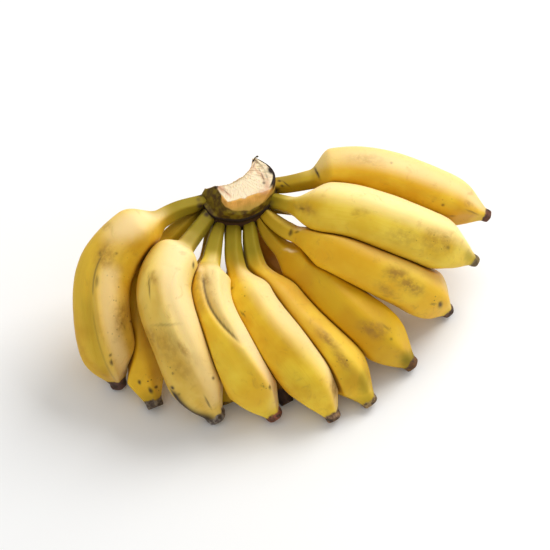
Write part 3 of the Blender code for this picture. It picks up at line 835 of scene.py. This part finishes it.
def solid_crown() -> np.ndarray:
    """The solid crown's rings, as the part has them: a superellipse swept along an arc.

    Width and height are the turn's cosine and sine raised to a power below one, which
    squares the corners, and the sweep's cube thins the crown out to both ends.
    """
    sweep = np.linspace(-1.0, 1.0, CROWN_STATIONS)
    bearing = CROWN_ARC_BEARING + sweep * CROWN_ARC_HALF_ANGLE
    out = np.stack([np.cos(bearing), np.sin(bearing), np.zeros_like(bearing)], axis=1)
    centre = np.array([*CROWN_ARC_CENTRE, CROWN_HEIGHT]) + CROWN_ARC_RADIUS * out
    fullness = np.sqrt(1.0 - np.abs(CROWN_END_SHARE * sweep) ** 3)
    turn = np.linspace(2 * math.pi, 0.0, CROWN_SIDES, endpoint=False)
    power = np.where(np.sin(turn) > 0, CROWN_CUT_POWER, CROWN_BASE_POWER)
    wide = np.sign(np.cos(turn)) * np.abs(np.cos(turn)) ** power
    tall = np.sign(np.sin(turn)) * np.abs(np.sin(turn)) ** power
    lean = wide * (1.0 - CROWN_LEAN * np.abs(tall))
    across = CROWN_HALF_WIDTH * fullness[:, None] * lean[None, :]
    dish = CROWN_DISH * np.clip(tall, 0.0, 1.0) * (1.0 - np.abs(wide))
    upper = (CROWN_TOP - CROWN_RIM) * np.clip(tall, 0.0, 1.0) - dish
    lower = (CROWN_RIM - CROWN_BOTTOM) * np.clip(tall, -1.0, 0.0)
    height = CROWN_RIM + upper[None, :] + lower[None, :] * fullness[:, None]
    flat = centre[:, None, :] + out[:, None, :] * across[:, :, None]
    return flat + np.array([0.0, 0.0, 1.0]) * height[:, :, None]


@dataclass(frozen=True)
class Facet:
    """A sloping cut: from a line on the knife's face it falls away by its slope, to one side.

    The corner is a point of the line, and outward the unit direction, seen from above, in
    which the cut falls.
    """

    corner: tuple[float, float]
    outward: tuple[float, float]
    level: float
    slope: float

    def past(self, plan: np.ndarray) -> np.ndarray:
        """How far points, seen from above, are beyond the line."""
        return (plan - np.array(self.corner)) @ np.array(self.outward)

    def ceiling(self, plan: np.ndarray) -> np.ndarray:
        """The greatest level that the cut leaves at points seen from above."""
        return self.level - self.slope * np.maximum(self.past(plan), 0.0)


@dataclass
class CrownGrid:
    """The crown before it is roughened: rings along the crescent by sides round the section.

    Number is each side's control point of the section, with parts, and sweep each ring's
    place along the crescent, from -1 to 1. Plan is the grid seen from above.
    """

    number: np.ndarray
    sweep: np.ndarray
    bearing: np.ndarray
    reach: np.ndarray
    plan: np.ndarray
    level: np.ndarray

    def points(self) -> np.ndarray:
        """The grid in space."""
        return np.concatenate([self.plan, self.level[..., None] + CROWN_HEIGHT], axis=2)

    def passed(self, start: float, over: float) -> np.ndarray:
        """For each side, how far it is past a control point, from 0 to 1."""
        return smooth_step((self.number - start) / over)

    def before(self, end: float, over: float) -> np.ndarray:
        """For each side, how far it is short of a control point, from 0 to 1."""
        return smooth_step((end - self.number) / over)


@dataclass
class Crown:
    """The cut crown: a crescent of flesh in its skin, with a knife's face on top.

    The section goes round from under the lip: each point is a share of the half width
    (outwards above 0) and a height in millimetres from the crown's own middle height.
    The reaches give the crescent's inner and outer radius at bearings in degrees. The lens is
    the lower edge of the drying tan flesh, as columns and rows in the picture.
    """

    section: tuple[tuple[float, float], ...] = (
        (1.02, -3.6), (0.98, -8.0), (0.80, -17.0), (0.45, -24.0), (-0.30, -24.0),
        (-0.75, -16.0), (-0.95, -4.0), (-1.00, 6.0), (-0.99, 12.2), (-0.93, 13.0),
        (-0.30, 11.3), (0.10, 11.0), (0.44, 12.0), (0.92, 12.8), (0.96, 5.0),
        (0.98, -0.4), (1.06, -1.0), (1.08, -2.4))
    bearings: tuple[float, ...] = (-150, -127, -108, -75, -45, -14, 0, 8, 17, 32, 34)
    inner: tuple[float, ...] = (20.5, 16.2, 12.4, 9.6, 9.2, 10.6, 12.2, 13.4, 15.0, 18.4, 19.0)
    outer: tuple[float, ...] = (24.0, 29.0, 32.2, 33.6, 33.6, 33.2, 31.4, 28.6, 24.6, 20.6, 20.2)
    side_facet: Facet = Facet((-16.8, 2.9), (-0.838, -0.545), 13.0, 1.75)
    front_facet: Facet = Facet((-9.1, -9.5), (0.285, -0.958), 12.6, 0.95)
    facet_softness: float = 0.5
    lip_climb: float = 11.5
    fibre: tuple[tuple[float, float, float], ...] = (
        (9.0, 26.5, 91.0), (10.0, 28.6, 93.0), (11.3, 30.0, 94.2), (13.0, 30.6, 94.6))
    fibre_rings: int = 30
    fibre_sides: int = 18
    lens: tuple[tuple[float, float], ...] = (
        (220.0, 180.0), (221.7, 203.0), (226.0, 208.0), (232.0, 211.0), (240.0, 212.0),
        (249.5, 211.0), (255.4, 208.8), (262.8, 203.7), (268.0, 199.0), (273.0, 194.0),
        (277.0, 184.0))
    rings: int = 250
    sides: int = 240
    marks: tuple[Mark, ...] = (
        *ovals(S, (271, 170.5, 4.2, 3.0, 50, 1.2), (264, 183, 1.6, 1.6, 60, 0.7),
            (263, 178, 3.0, 0.7, 65, 0.6), (267, 177, 2.2, 0.7, 75, 0.5),
            (262, 175, 2.0, 0.7, 70, 0.6), (259.5, 170, 2.2, 0.6, 60, 0.5),
            (216.5, 187, 1.8, 2.2, 50, 0.9), (226, 192, 4, 0.5, 40, 0.5),
            (254, 165, 0.7, 2.4, 20, 0.5)),
        *ovals(B, (262, 176, 6, 1.6, 55, 0.8), (257, 171, 6, 1.2, 50, 0.7),
            (221, 188.5, 6, 2.6, 38), (228, 194, 5, 1.2, 42, 0.9), (267, 186, 3, 8, 0, 0.7),
            (252, 168, 3, 7, 30, 0.5), (264, 192, 6, 3, 0, 0.7)))

    def outline(self) -> tuple[np.ndarray, np.ndarray, np.ndarray]:
        """The section as even steps round it, softened at its corners.

        Returns:
            The width shares, the heights, and the number of the control point, with parts.
        """
        points = np.array(self.section + self.section[:1])
        lengths = run_lengths(points * np.array([CROWN_HALF_WIDTH, 1.0]))
        even = np.linspace(0.0, lengths[-1], self.sides, endpoint=False)
        number = np.interp(even, lengths, np.arange(len(points)))
        wide, tall = (np.interp(even, lengths, column) for column in points.T)
        for _ in range(2):
            wide = (np.roll(wide, 1) + 2 * wide + np.roll(wide, -1)) / 4
            tall = (np.roll(tall, 1) + 2 * tall + np.roll(tall, -1)) / 4
        return wide, tall, number

    def levels(self, wide: np.ndarray, tall: np.ndarray, sweep: np.ndarray,
               plan: np.ndarray) -> np.ndarray:
        """The heights of the section at every ring, cut by both facets.

        The lip, a share of the way round, climbs to the knife's face at the upper end, and
        the crown is less deep at both ends. A facet cuts no deeper than the lip.

        Args:
            wide: The section's width shares.
            tall: The section's heights.
            sweep: Each ring's place along the crescent, from -1 to 1.
            plan: The grid seen from above.

        Returns:
            Millimetres from the crown's middle height, rings by sides.
        """
        lip = CROWN_RIM + self.lip_climb * smooth_step((sweep - 0.42) / 0.5)
        level = np.broadcast_to(tall, plan.shape[:2])
        squeezed = ((CROWN_TOP - lip) / (CROWN_TOP - CROWN_RIM))[:, None]
        raised = CROWN_TOP - (CROWN_TOP - level) * squeezed
        lowered = level + (lip - CROWN_RIM)[:, None] * smooth_step((level + 14) / 12)
        shortened = 1.0 - 0.45 * np.abs(sweep[:, None]) ** 4
        outside = (wide > 0.3)[None, :]
        level = np.where(outside & (level > CROWN_RIM), raised, np.where(outside, lowered, level))
        level = np.where(level < CROWN_RIM, CROWN_RIM + (level - CROWN_RIM) * shortened, level)
        lip_level = np.broadcast_to(lip[:, None] + 0.4, level.shape)
        side_cut = np.maximum(self.side_facet.ceiling(plan), lip_level)
        front_cut = np.maximum(self.front_facet.ceiling(plan), lip_level)
        cut = soft_least(side_cut, front_cut, self.facet_softness)
        return np.where(level > CROWN_RIM, soft_least(level, cut, self.facet_softness), level)

    def blank(self) -> CrownGrid:
        """The crescent: its section between the inner and the outer reach, smooth and cut."""
        wide, tall, number = self.outline()
        sweep = np.linspace(-1.0, 1.0, self.rings)
        bearing = CROWN_ARC_BEARING + sweep * CROWN_ARC_HALF_ANGLE
        radii = (np.interp(np.degrees(bearing), self.bearings, r) for r in (self.inner, self.outer))
        inner, outer = (
            np.convolve(np.pad(r, 9, mode="edge"), np.ones(19) / 19, mode="valid") for r in radii)
        reach = (inner + outer)[:, None] / 2 + (outer - inner)[:, None] / 2 * wide[None, :]
        plan = np.stack(
            [np.cos(bearing)[:, None] * reach, np.sin(bearing)[:, None] * reach], axis=2)
        plan = plan + np.array(CROWN_ARC_CENTRE)
        level = self.levels(wide, tall, sweep, plan)
        return CrownGrid(number, sweep, bearing, reach, plan, level)

    def zones(self, blank: CrownGrid) -> tuple[np.ndarray, dict[str, np.ndarray]]:
        """Where the cut face, the tan band, the rim, the collar and the inner side are.

        Each zone is a product of soft edges: control points of the section, lines of the
        facets, and the lens's lower edge in the picture, which wavers.

        Args:
            blank: The smooth crown.

        Returns:
            The whole face with its dark edge, and the zones that the finish reads, by name.
        """
        sweep, number = blank.sweep, blank.number
        flat = np.concatenate([blank.plan, 0 * blank.plan[..., :1]], axis=2)
        waver = 1.3 * lattice_noise(flat, 3.6, 15)
        kept = smooth_step((0.6 - self.side_facet.past(blank.plan)) / 1.0)
        behind = smooth_step((0.2 + waver - self.front_facet.past(blank.plan)) / 0.7)
        face = (blank.passed(8.6, 0.7) * blank.before(13.2, 0.4))[None, :] * kept * behind
        column, row = seen(blank.points())
        lens_row = np.interp(column, *np.array(self.lens).T)
        band = smooth_step((lens_row + 0.7 * waver - row) / 1.2) * (1 - face)
        band = band * (number > 9)[None, :] * (1 - blank.passed(14.6, 0.4))[None, :]
        on_rim = blank.passed(14.85, 0.3) + blank.before(0.35, 0.3) * (number < 1)
        on_edge = blank.passed(12.62, 0.12) * blank.before(13.8, 0.2)
        edge = on_edge[None, :] * smooth_step((sweep - 0.30) / 0.12)[:, None]
        return face, {
            "face": face * (1 - edge), "band": band,
            "rim": np.maximum(np.broadcast_to(on_rim[None, :], face.shape), edge),
            "foot": smooth_step((10.2 - blank.level) / 4.5) * band,
            "collar": np.broadcast_to(blank.before(2.0, 0.8) * (number < 2.5), face.shape),
            "inside": np.broadcast_to(blank.passed(4.5, 1.0) * blank.before(9.0, 0.6), face.shape)}

    def roughened(self, blank: CrownGrid, face: np.ndarray, inside: np.ndarray) -> np.ndarray:
        """The points with torn fibres on the face, a burr on its edge, and a rough inner side.

        Args:
            blank: The smooth crown.
            face: Where the cut face is.
            inside: Where the inner side is.

        Returns:
            The points, rings by sides by three coordinates.
        """
        sweep, bearing, reach, level = blank.sweep, blank.bearing, blank.reach, blank.level
        grid = blank.points()
        round_arc = bearing[:, None] * CROWN_ARC_RADIUS + 0 * reach
        spread = np.stack([round_arc, reach * 0.22, level * 0.22], axis=2)
        torn = lattice_noise(spread, 1.1, 11) + 0.7 * lattice_noise(spread, 0.55, 12)
        lower, upper = smooth_step((-0.5 - sweep) / 0.1), smooth_step((sweep - 0.25) / 0.4)
        torn = torn * (0.16 + 0.5 * upper + 0.3 * lower)[:, None]
        at_edge = np.exp(-((blank.number - 9.0) / 0.8) ** 2)[None, :]
        burr = 0.6 * at_edge * np.maximum(lattice_noise(grid, 1.3, 14), 0)
        grid = grid + (face * torn * 0.75 + burr)[..., None] * np.array([0.0, 0.0, 1.0])
        grid = grid + 0.45 * lattice_noise(grid, 6.0, 13)[..., None] * np.array([0.6, 0.6, 0.15])
        strands = np.stack([bearing[:, None] * 14 + 0 * reach, level * 0.12, 0 * reach], axis=2)
        rough = 0.35 * lattice_noise(strands, 0.9, 16) + 0.8 * lattice_noise(grid, 7.0, 17)
        inward = -np.stack([np.cos(bearing), np.sin(bearing), 0 * bearing], axis=1)[:, None, :]
        return grid + (inside * rough)[..., None] * inward

    def build(self, shift: np.ndarray) -> bpy.types.Object:
        """Makes the crown, roughens it and marks its zones.

        Args:
            shift: From the hand's own middle to the row frame, in millimetres.

        Returns:
            The crown's object, dressed.
        """
        blank = self.blank()
        face, zones = self.zones(blank)
        grid = self.roughened(blank, face, zones["inside"])
        column, row = seen(grid)
        upper = smooth_step((grid[..., 2] - CROWN_HEIGHT + 1) / 2)
        fields = {}
        for kind in (S, B):
            of_kind = [mark_oval(mark, column, row) for mark in self.marks if mark.kind is kind]
            fields[kind.value] = np.max(of_kind, axis=0) * upper
        fields.update(zones)
        mesh = closed_mesh("crown", grid + shift)
        for name, values in fields.items():
            paint(mesh, name, values)
        mesh.materials.append(CutCrown().material())
        return add_piece("cut_crown", mesh, "crown")

    def torn_fibre(self, shift: np.ndarray) -> bpy.types.Object:
        """Makes the dried fibre that sticks up where the knife tore the upper end."""
        path = np.array([laid_out(*point) for point in self.fibre])
        line, _ = spline(path, self.fibre_rings)
        tangent = np.gradient(line, axis=0)
        tangent = tangent / np.linalg.norm(tangent, axis=1, keepdims=True)
        flank = np.cross(tangent, FRONT)
        flank = flank / np.linalg.norm(flank, axis=1, keepdims=True)
        facing = np.cross(flank, tangent)
        part = np.linspace(0.0, 1.0, len(line))
        thick = 0.9 - 0.45 * smooth_step(part / 0.6) + 0.55 * np.exp(-((part - 0.86) / 0.14) ** 2)
        thick = thick * np.sqrt(np.clip((1.02 - part) / 0.1, 0.0, 1.0))
        turn = np.linspace(0.0, 2 * math.pi, self.fibre_sides, endpoint=False)
        out = np.cos(turn)[None, :, None] * facing[:, None, :]
        out = out + 0.7 * np.sin(turn)[None, :, None] * flank[:, None, :]
        grid = line[:, None, :] + out * thick[:, None, None]
        grid = grid + 0.15 * lattice_noise(grid, 0.8, 21)[..., None] * out
        mesh = closed_mesh("torn_fibre", grid + shift)
        paint(mesh, "scar", np.ones(grid.shape[:2]) * 0.85)
        mesh.materials.append(CutCrown().material())
        return add_piece("torn_fibre", mesh, "crown")


def mark_oval(mark: Mark, column: np.ndarray, row: np.ndarray) -> np.ndarray:
    """A mark's strength at places in the picture, falling as e to minus a cube."""
    lean = math.radians(mark.lean)
    over, down = column - mark.column, row - mark.row
    long = (over * math.cos(lean) + down * math.sin(lean)) / mark.long
    wide = (down * math.cos(lean) - over * math.sin(lean)) / mark.wide
    return np.exp(-((long**2 + wide**2) ** 1.5)) * mark.strength


def add_piece(name: str, mesh: bpy.types.Mesh, node: str) -> bpy.types.Object:
    """Puts a mesh in the scene as the piece that stands for a node, riding on the one body."""
    made = bpy.data.objects.new(name, mesh)
    bpy.context.scene.collection.objects.link(made)
    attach(made, "root")
    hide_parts(node)
    LOG.info("%s: %d points, for %s", name, len(mesh.vertices), node)
    return made


@dataclass
class FingerSkin:
    """One finger's finished surface, pressed by its neighbours."""

    finger: Finger
    line: Centreline
    others: list[Centreline]
    seed: int

    def limit(self, where: np.ndarray) -> np.ndarray:
        """How far each ray may reach before the neighbour's share of the space begins.

        A point belongs to the finger that it is deeper inside, and a finger that lies in
        front takes some millimetres more. The first change of sign along each ray is read
        between evenly spaced trial distances.

        Args:
            where: Distances along the centreline of the coarse rings.

        Returns:
            Millimetres, coarse rings by coarse sides, the full trial reach where it is free.
        """
        turn = np.linspace(0.0, 2 * math.pi, LIMIT_SIDES, endpoint=False)
        centre = self.line.read(self.line.points, where)[:, None, None, :]
        ray = self.line.rays(where, turn)[:, :, None, :]
        radius = np.interp(where, self.line.along, self.line.radius)[:, None, None]
        reach = radius * np.linspace(LIMIT_FROM, LIMIT_TO, LIMIT_STEPS)
        reach = np.broadcast_to(reach, (len(where), LIMIT_SIDES, LIMIT_STEPS))
        points = centre + ray * reach[..., None]
        room = np.full(reach.shape, np.inf)
        for other in self.others:
            room = np.minimum(room, other.depth_outside(points) + self.line.front - other.front)
        room = room - CONTACT_GAP - self.line.depth_outside(points)
        shut = room < 0
        first = np.where(shut.any(axis=2), shut.argmax(axis=2), LIMIT_STEPS - 1)
        before = np.maximum(first - 1, 0)
        rows, columns = np.indices(first.shape)
        here, there = room[rows, columns, before], room[rows, columns, first]
        share = np.clip(here / np.maximum(here - there, 1e-6), 0.0, 1.0)
        near_reach, far_reach = reach[rows, columns, before], reach[rows, columns, first]
        found = near_reach + (far_reach - near_reach) * share
        return np.where(shut.any(axis=2), found, reach[..., -1])

    def noise(self, points: np.ndarray, size: float, number: int) -> np.ndarray:
        """One of this finger's own noises, by number."""
        return lattice_noise(points, size, self.seed + number)

    def rings(self) -> tuple[np.ndarray, np.ndarray]:
        """Distance along and radius of every ring, from the root to the hollow of the stub."""
        look, line = self.finger.look, self.line
        end = line.length - look.trim
        body = np.linspace(0.0, end, RINGS)
        radius = solid_radius(self.finger, body, line.length)
        left = end - body
        waist = look.neck * smooth_step((WAIST_START - left) / WAIST_LENGTH)
        full = np.maximum(radius - TIP_RADIUS, 0.0) / self.finger.radius
        slimmer = look.stub_radius - 0.5 - TIP_RADIUS
        neck = TIP_RADIUS + slimmer * smooth_step((NECK_START - left) / NECK_LENGTH)
        over_neck = (self.finger.radius + TIP_RADIUS - neck) * full ** (1.0 + waist)
        radius = soft_most(neck + over_neck, neck, 0.5)
        radius = radius + 0.7 * np.exp(-((left - 1.2) / 2.2) ** 2)
        radius = radius + ROOT_FLARE * np.exp(-body / ROOT_FLARE_LENGTH)
        # The stub's edge turns in and its end is a shallow hollow
        inward = np.array([0.97, 0.90, 0.78, 0.60, 0.36, 0.12])
        drop = np.array([0.45, 0.75, 0.80, 0.35, 0.0, -0.1])
        along = np.concatenate([body, end + drop])
        return along, np.concatenate([radius, radius[-1] * inward])

    def relief(self, along: np.ndarray, turn: np.ndarray) -> tuple[np.ndarray, np.ndarray]:
        """The surface's height over the round section, as a share of it, and its ridges.

        Five ridges: one plus the cosine of five turns, halved, and raised to a power for
        a sharper crest. They are strongest at the stem and the neck. Folds are added as bell
        curves across their turn.

        Args:
            along: Ring distances.
            turn: Turns round the section.

        Returns:
            The height in shares of the radius, and how near each point is to a crest.
        """
        look, finger, line = self.finger.look, self.finger, self.line
        wave = 0.5 + 0.5 * np.cos(RIDGE_COUNT * (turn + math.radians(finger.roll)))
        crest = (1 - look.sharp) * wave + look.sharp * wave**2.4
        share = along / line.length
        stemmy = 1 - smooth_step((along - finger.stem + 6) / (finger.shoulder + 12))
        necky = smooth_step((along - line.length + 40) / 18)
        necky = necky * smooth_step((line.length - 7 - along) / 8)
        depth = look.ridge * 2.0 * (1 + 0.8 * stemmy + 1.1 * necky)
        height = -depth[:, None] * (1 - crest)[None, :]
        for fold in look.folds:
            part = np.clip((share - fold.start) / (fold.end - fold.start), 0.0, 1.0)
            middle = np.radians(fold.turn_start + (fold.turn_end - fold.turn_start) * part)
            away = np.angle(np.exp(1j * (turn[None, :] - middle[:, None])))
            swell = np.sin(math.pi * part) ** 0.6
            bell = np.exp(-(away / math.radians(fold.width)) ** 2)
            height = height + fold.height / finger.radius * swell[:, None] * bell
        return height, crest

    def masks(self, grid: np.ndarray, normal: np.ndarray, share: np.ndarray, turn: np.ndarray,
              reach: np.ndarray) -> dict[str, np.ndarray]:
        """The marks of every kind: ovals in the picture, and stripes along the finger.

        Args:
            grid: The surface's points.
            normal: The rays out of the centreline.
            share: Each ring's share of the length.
            turn: The turns round a ring.
            reach: How far each point is from the centreline.

        Returns:
            A strength for each point, by kind. Ovals lie on the side that faces the sight line.
        """
        column, row = seen(grid)
        facing = smooth_step((normal @ FRONT) / 0.3)
        found = {kind.value: np.zeros(grid.shape[:2]) for kind in MarkKind}
        wobble_x = 1.2 * self.noise(grid, 3.0, 40)
        wobble_y = 1.2 * self.noise(grid, 3.0, 41)
        for mark in self.finger.look.marks:
            sway = min(1.0, mark.wide / 3)
            oval = mark_oval(mark, column + wobble_x * sway, row + wobble_y * sway) * facing
            found[mark.kind.value] = np.maximum(found[mark.kind.value], oval)
        for stripe in self.finger.look.stripes:
            part = (share - stripe.start) / (stripe.end - stripe.start)
            middle = np.radians(stripe.turn_start + (stripe.turn_end - stripe.turn_start) * part)
            away = np.angle(np.exp(1j * (turn[None, :] - middle[:, None]))) * reach
            swell = smooth_step(part / 0.15) * smooth_step((1 - part) / 0.15)
            streak = np.exp(-(np.abs(away / stripe.width) ** 3)) * swell[:, None] * stripe.strength
            found[stripe.kind.value] = np.maximum(found[stripe.kind.value], streak)
        return found

    def build(self, crown: np.ndarray, shift: np.ndarray) -> bpy.types.Object:
        """Makes the finger and stores what its finish reads.

        Args:
            crown: Points of the crown's surface.
            shift: From the hand's own middle to the row frame, in millimetres.

        Returns:
            The finger's object, dressed.
        """
        finger, line, look = self.finger, self.line, self.finger.look
        along, radius = self.rings()
        turn = np.linspace(0.0, 2 * math.pi, SIDES, endpoint=False)
        end = line.length - look.trim
        held = np.minimum(along, end)
        height, crest = self.relief(held, turn)
        centre = line.read(line.points, held)
        centre = centre + line.read(line.tangent, held) * (along - held)[:, None]
        ray = line.rays(held, turn)
        round_skin = centre[:, None, :] + ray * radius[:, None, None]
        lumps = 0.32 * self.noise(round_skin, 19.0, 0) + 0.10 * self.noise(round_skin, 6.0, 1)
        reach = radius[:, None] * (1 + height) + lumps * np.minimum(1.0, radius / 14)[:, None]
        limit = resampled(
            self.limit(np.linspace(0.0, line.length, LIMIT_RINGS)),
            held / line.length * (LIMIT_RINGS - 1), np.arange(SIDES) * LIMIT_SIDES / SIDES)
        free = reach
        reach = soft_least(reach, np.maximum(limit, 0.4), CONTACT_SOFTNESS)
        grid = centre[:, None, :] + ray * reach[..., None]
        grid[..., 2] = np.maximum(grid[..., 2], 0.0)

        to_crown = crown_distance(grid, crown)
        fields = self.masks(grid, ray, held / line.length, turn, reach)
        left = (end - along)[:, None]
        ragged = 1.6 * self.noise(grid, 4.0, 3) + 0.8 * self.noise(grid, 1.6, 4)
        fields["tip"] = smooth_step((look.stub + ragged - left) / 1.4 + 0.5)
        stem_end = (finger.stem + 4 - along)[:, None] + 5 * self.noise(grid, 9.0, 5)
        stem_green = look.green_stem * smooth_step(stem_end / 26 + 0.35)
        neck_end = 15 - left + 3 * self.noise(grid, 7.0, 6)
        neck_green = look.green_neck * smooth_step(neck_end / 12)
        fields["green"] = np.maximum(fields["green"], np.maximum(stem_green, neck_green))
        # Painted shade near contacts: the further a neighbour pushes the surface in, the more gold
        # and then dark brown
        fields["pressed"] = smooth_step((free - reach - 0.1) / 1.6) * look.crease_shade
        fields["deep"] = smooth_step((free - reach - 0.5) / 2.6) * look.crease_shade
        # Painted highlight on the side that faces the key light, less where the peel is green
        fields["outer"] = smooth_step((ray @ KEY_LIGHT_SIDE - 0.45) / 0.5) * (1 - fields["green"])
        fields["crest"] = np.broadcast_to(crest, grid.shape[:2])
        # Darker where the stems meet the crown
        off_crown = to_crown - 0.6 + 0.8 * self.noise(grid, 3.0, 7)
        fields["root"] = 1 - smooth_step(off_crown / 3.2)
        straight = np.stack([
            reach * np.cos(turn)[None, :], reach * np.sin(turn)[None, :],
            np.broadcast_to(along[:, None] + 300.0 * self.seed, reach.shape)], axis=2) * MM

        mesh = closed_mesh(finger.node, grid + shift)
        paint(mesh, "straight", straight)
        for name, values in fields.items():
            paint(mesh, name, values)
        piece = finger.node.replace("finger", "banana")
        mesh.materials.append(BananaPeel().material(look, piece + "_peel"))
        return add_piece(piece, mesh, finger.node)


def crown_distance(grid: np.ndarray, crown: np.ndarray) -> np.ndarray:
    """The distance from each point to the nearest point of the crown; far rings are far away."""
    found = np.full(grid.shape[:2], FAR_AWAY)
    close = slice(0, RINGS_NEAR_CROWN)
    points = grid[close]
    square = (points**2).sum(axis=-1)[..., None] + (crown**2).sum(axis=1) - 2 * points @ crown.T
    found[close] = np.sqrt(np.maximum(square, 0.0)).min(axis=-1)
    return found


@dataclass
class Hand:
    """The whole hand: the crown and every finger on it."""

    crown: Crown

    def shift(self, surface: np.ndarray) -> np.ndarray:
        """From the hand's own middle to the row frame: the crown's box against its own points."""
        low, high = (np.array(corner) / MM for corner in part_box("crown"))
        middle = (surface.min(axis=0) + surface.max(axis=0)) / 2
        moved = (low + high) / 2 - middle
        moved[2] = 0.0
        return moved

    def build(self) -> np.ndarray:
        """Makes every piece, and returns the shift that they were placed by."""
        surface = solid_crown().reshape(-1, 3)
        shift = self.shift(surface)
        LOG.info("hand shifted by %s mm", np.round(shift, 2))
        self.crown.build(shift)
        self.crown.torn_fibre(shift)
        lines = [Centreline(finger) for finger in FINGERS]
        for seed, (finger, line) in enumerate(zip(FINGERS, lines), start=1):
            others = [other for other in lines if other is not line and near(line, other)]
            FingerSkin(finger, line, others, seed).build(surface, shift)
        return shift


@dataclass(frozen=True)
class SoftBox:
    """A square area light: where it stands and aims, its side, in metres, and its power."""

    name: str
    place: tuple[float, float, float]
    side: float
    power: float
    colour: str = "#FFFFFF"
    aim: tuple[float, float, float] = (0.0, 0.0, 0.05)

    def add(self) -> None:
        """Puts the light in the scene, aimed at the hand."""
        lamp = bpy.data.lights.new(self.name, "AREA")
        lamp.shape = "SQUARE"
        lamp.size = self.side
        lamp.energy = self.power
        lamp.color = linear(self.colour)[:3]
        made = bpy.data.objects.new(self.name, lamp)
        made.location = self.place
        towards = Vector(self.aim) - made.location
        made.rotation_euler = towards.to_track_quat("-Z", "Y").to_euler()
        bpy.context.scene.collection.objects.link(made)


@dataclass
class Studio:
    """Floor, lights and camera."""

    floor_side: float = 12.0
    distance: float = 12.0
    target_height: float = 40.0
    sensor: float = 36.0
    lights: tuple[SoftBox, ...] = (
        SoftBox("key_soft_box", (0.66, 0.74, 1.08), 1.0, 18.5),
        SoftBox("fill_soft_box", (-1.1, -1.2, 1.1), 1.4, 1.0),
    )
    surround: str = "#FFFFFF"
    surround_strength: float = 0.64

    def floor(self) -> None:
        """A wide flat floor of matt paper at height 0."""
        half = self.floor_side / 2
        mesh = bpy.data.meshes.new("floor")
        corners = [(-half, -half, 0), (half, -half, 0), (half, half, 0), (-half, half, 0)]
        mesh.from_pydata(corners, [], [(0, 1, 2, 3)])
        mesh.materials.append(MattPaper().material())
        made = bpy.data.objects.new("floor", mesh)
        bpy.context.scene.collection.objects.link(made)

    def camera(self, shift: np.ndarray) -> None:
        """A long lens along the sight line, aimed at what the picture's middle shows.

        The picture's middle is half the picture's side; from the crown's middle that gives
        across and up, and the target's height gives the third coordinate.
        """
        middle = PICTURE_SIDE / 2
        across = (middle - SIGHT_COLUMN) * SIGHT_SCALE
        up = (SIGHT_ROW - middle) * SIGHT_SCALE
        target = (np.array(laid_out(across, up, self.target_height)) + shift) * MM
        width = PICTURE_SIDE * SIGHT_SCALE * MM
        data = bpy.data.cameras.new("camera")
        data.sensor_width = self.sensor
        data.lens = self.sensor * self.distance / width
        data.clip_end = 100.0
        data.dof.use_dof = False
        made = bpy.data.objects.new("camera", data)
        made.location = target + FRONT * self.distance
        made.rotation_euler = Vector(-FRONT).to_track_quat("-Z", "Y").to_euler()
        bpy.context.scene.collection.objects.link(made)
        bpy.context.scene.camera = made

    def build(self, shift: np.ndarray) -> None:
        """Sets the whole studio up."""
        self.floor()
        self.camera(shift)
        for light in self.lights:
            light.add()
        world = bpy.data.worlds.new("studio_white")
        world.use_nodes = True
        ground = world.node_tree.nodes["Background"]
        ground.inputs["Color"].default_value = linear(self.surround)
        ground.inputs["Strength"].default_value = self.surround_strength
        bpy.context.scene.world = world
        bpy.context.scene.view_settings.view_transform = "Standard"


def main() -> None:
    """Builds the hand, then the studio round it."""
    logging.basicConfig(level=logging.INFO, format="%(name)s: %(message)s")
    shift = Hand(Crown()).build()
    Studio().build(shift)


if __name__ == "__main__":
    main()
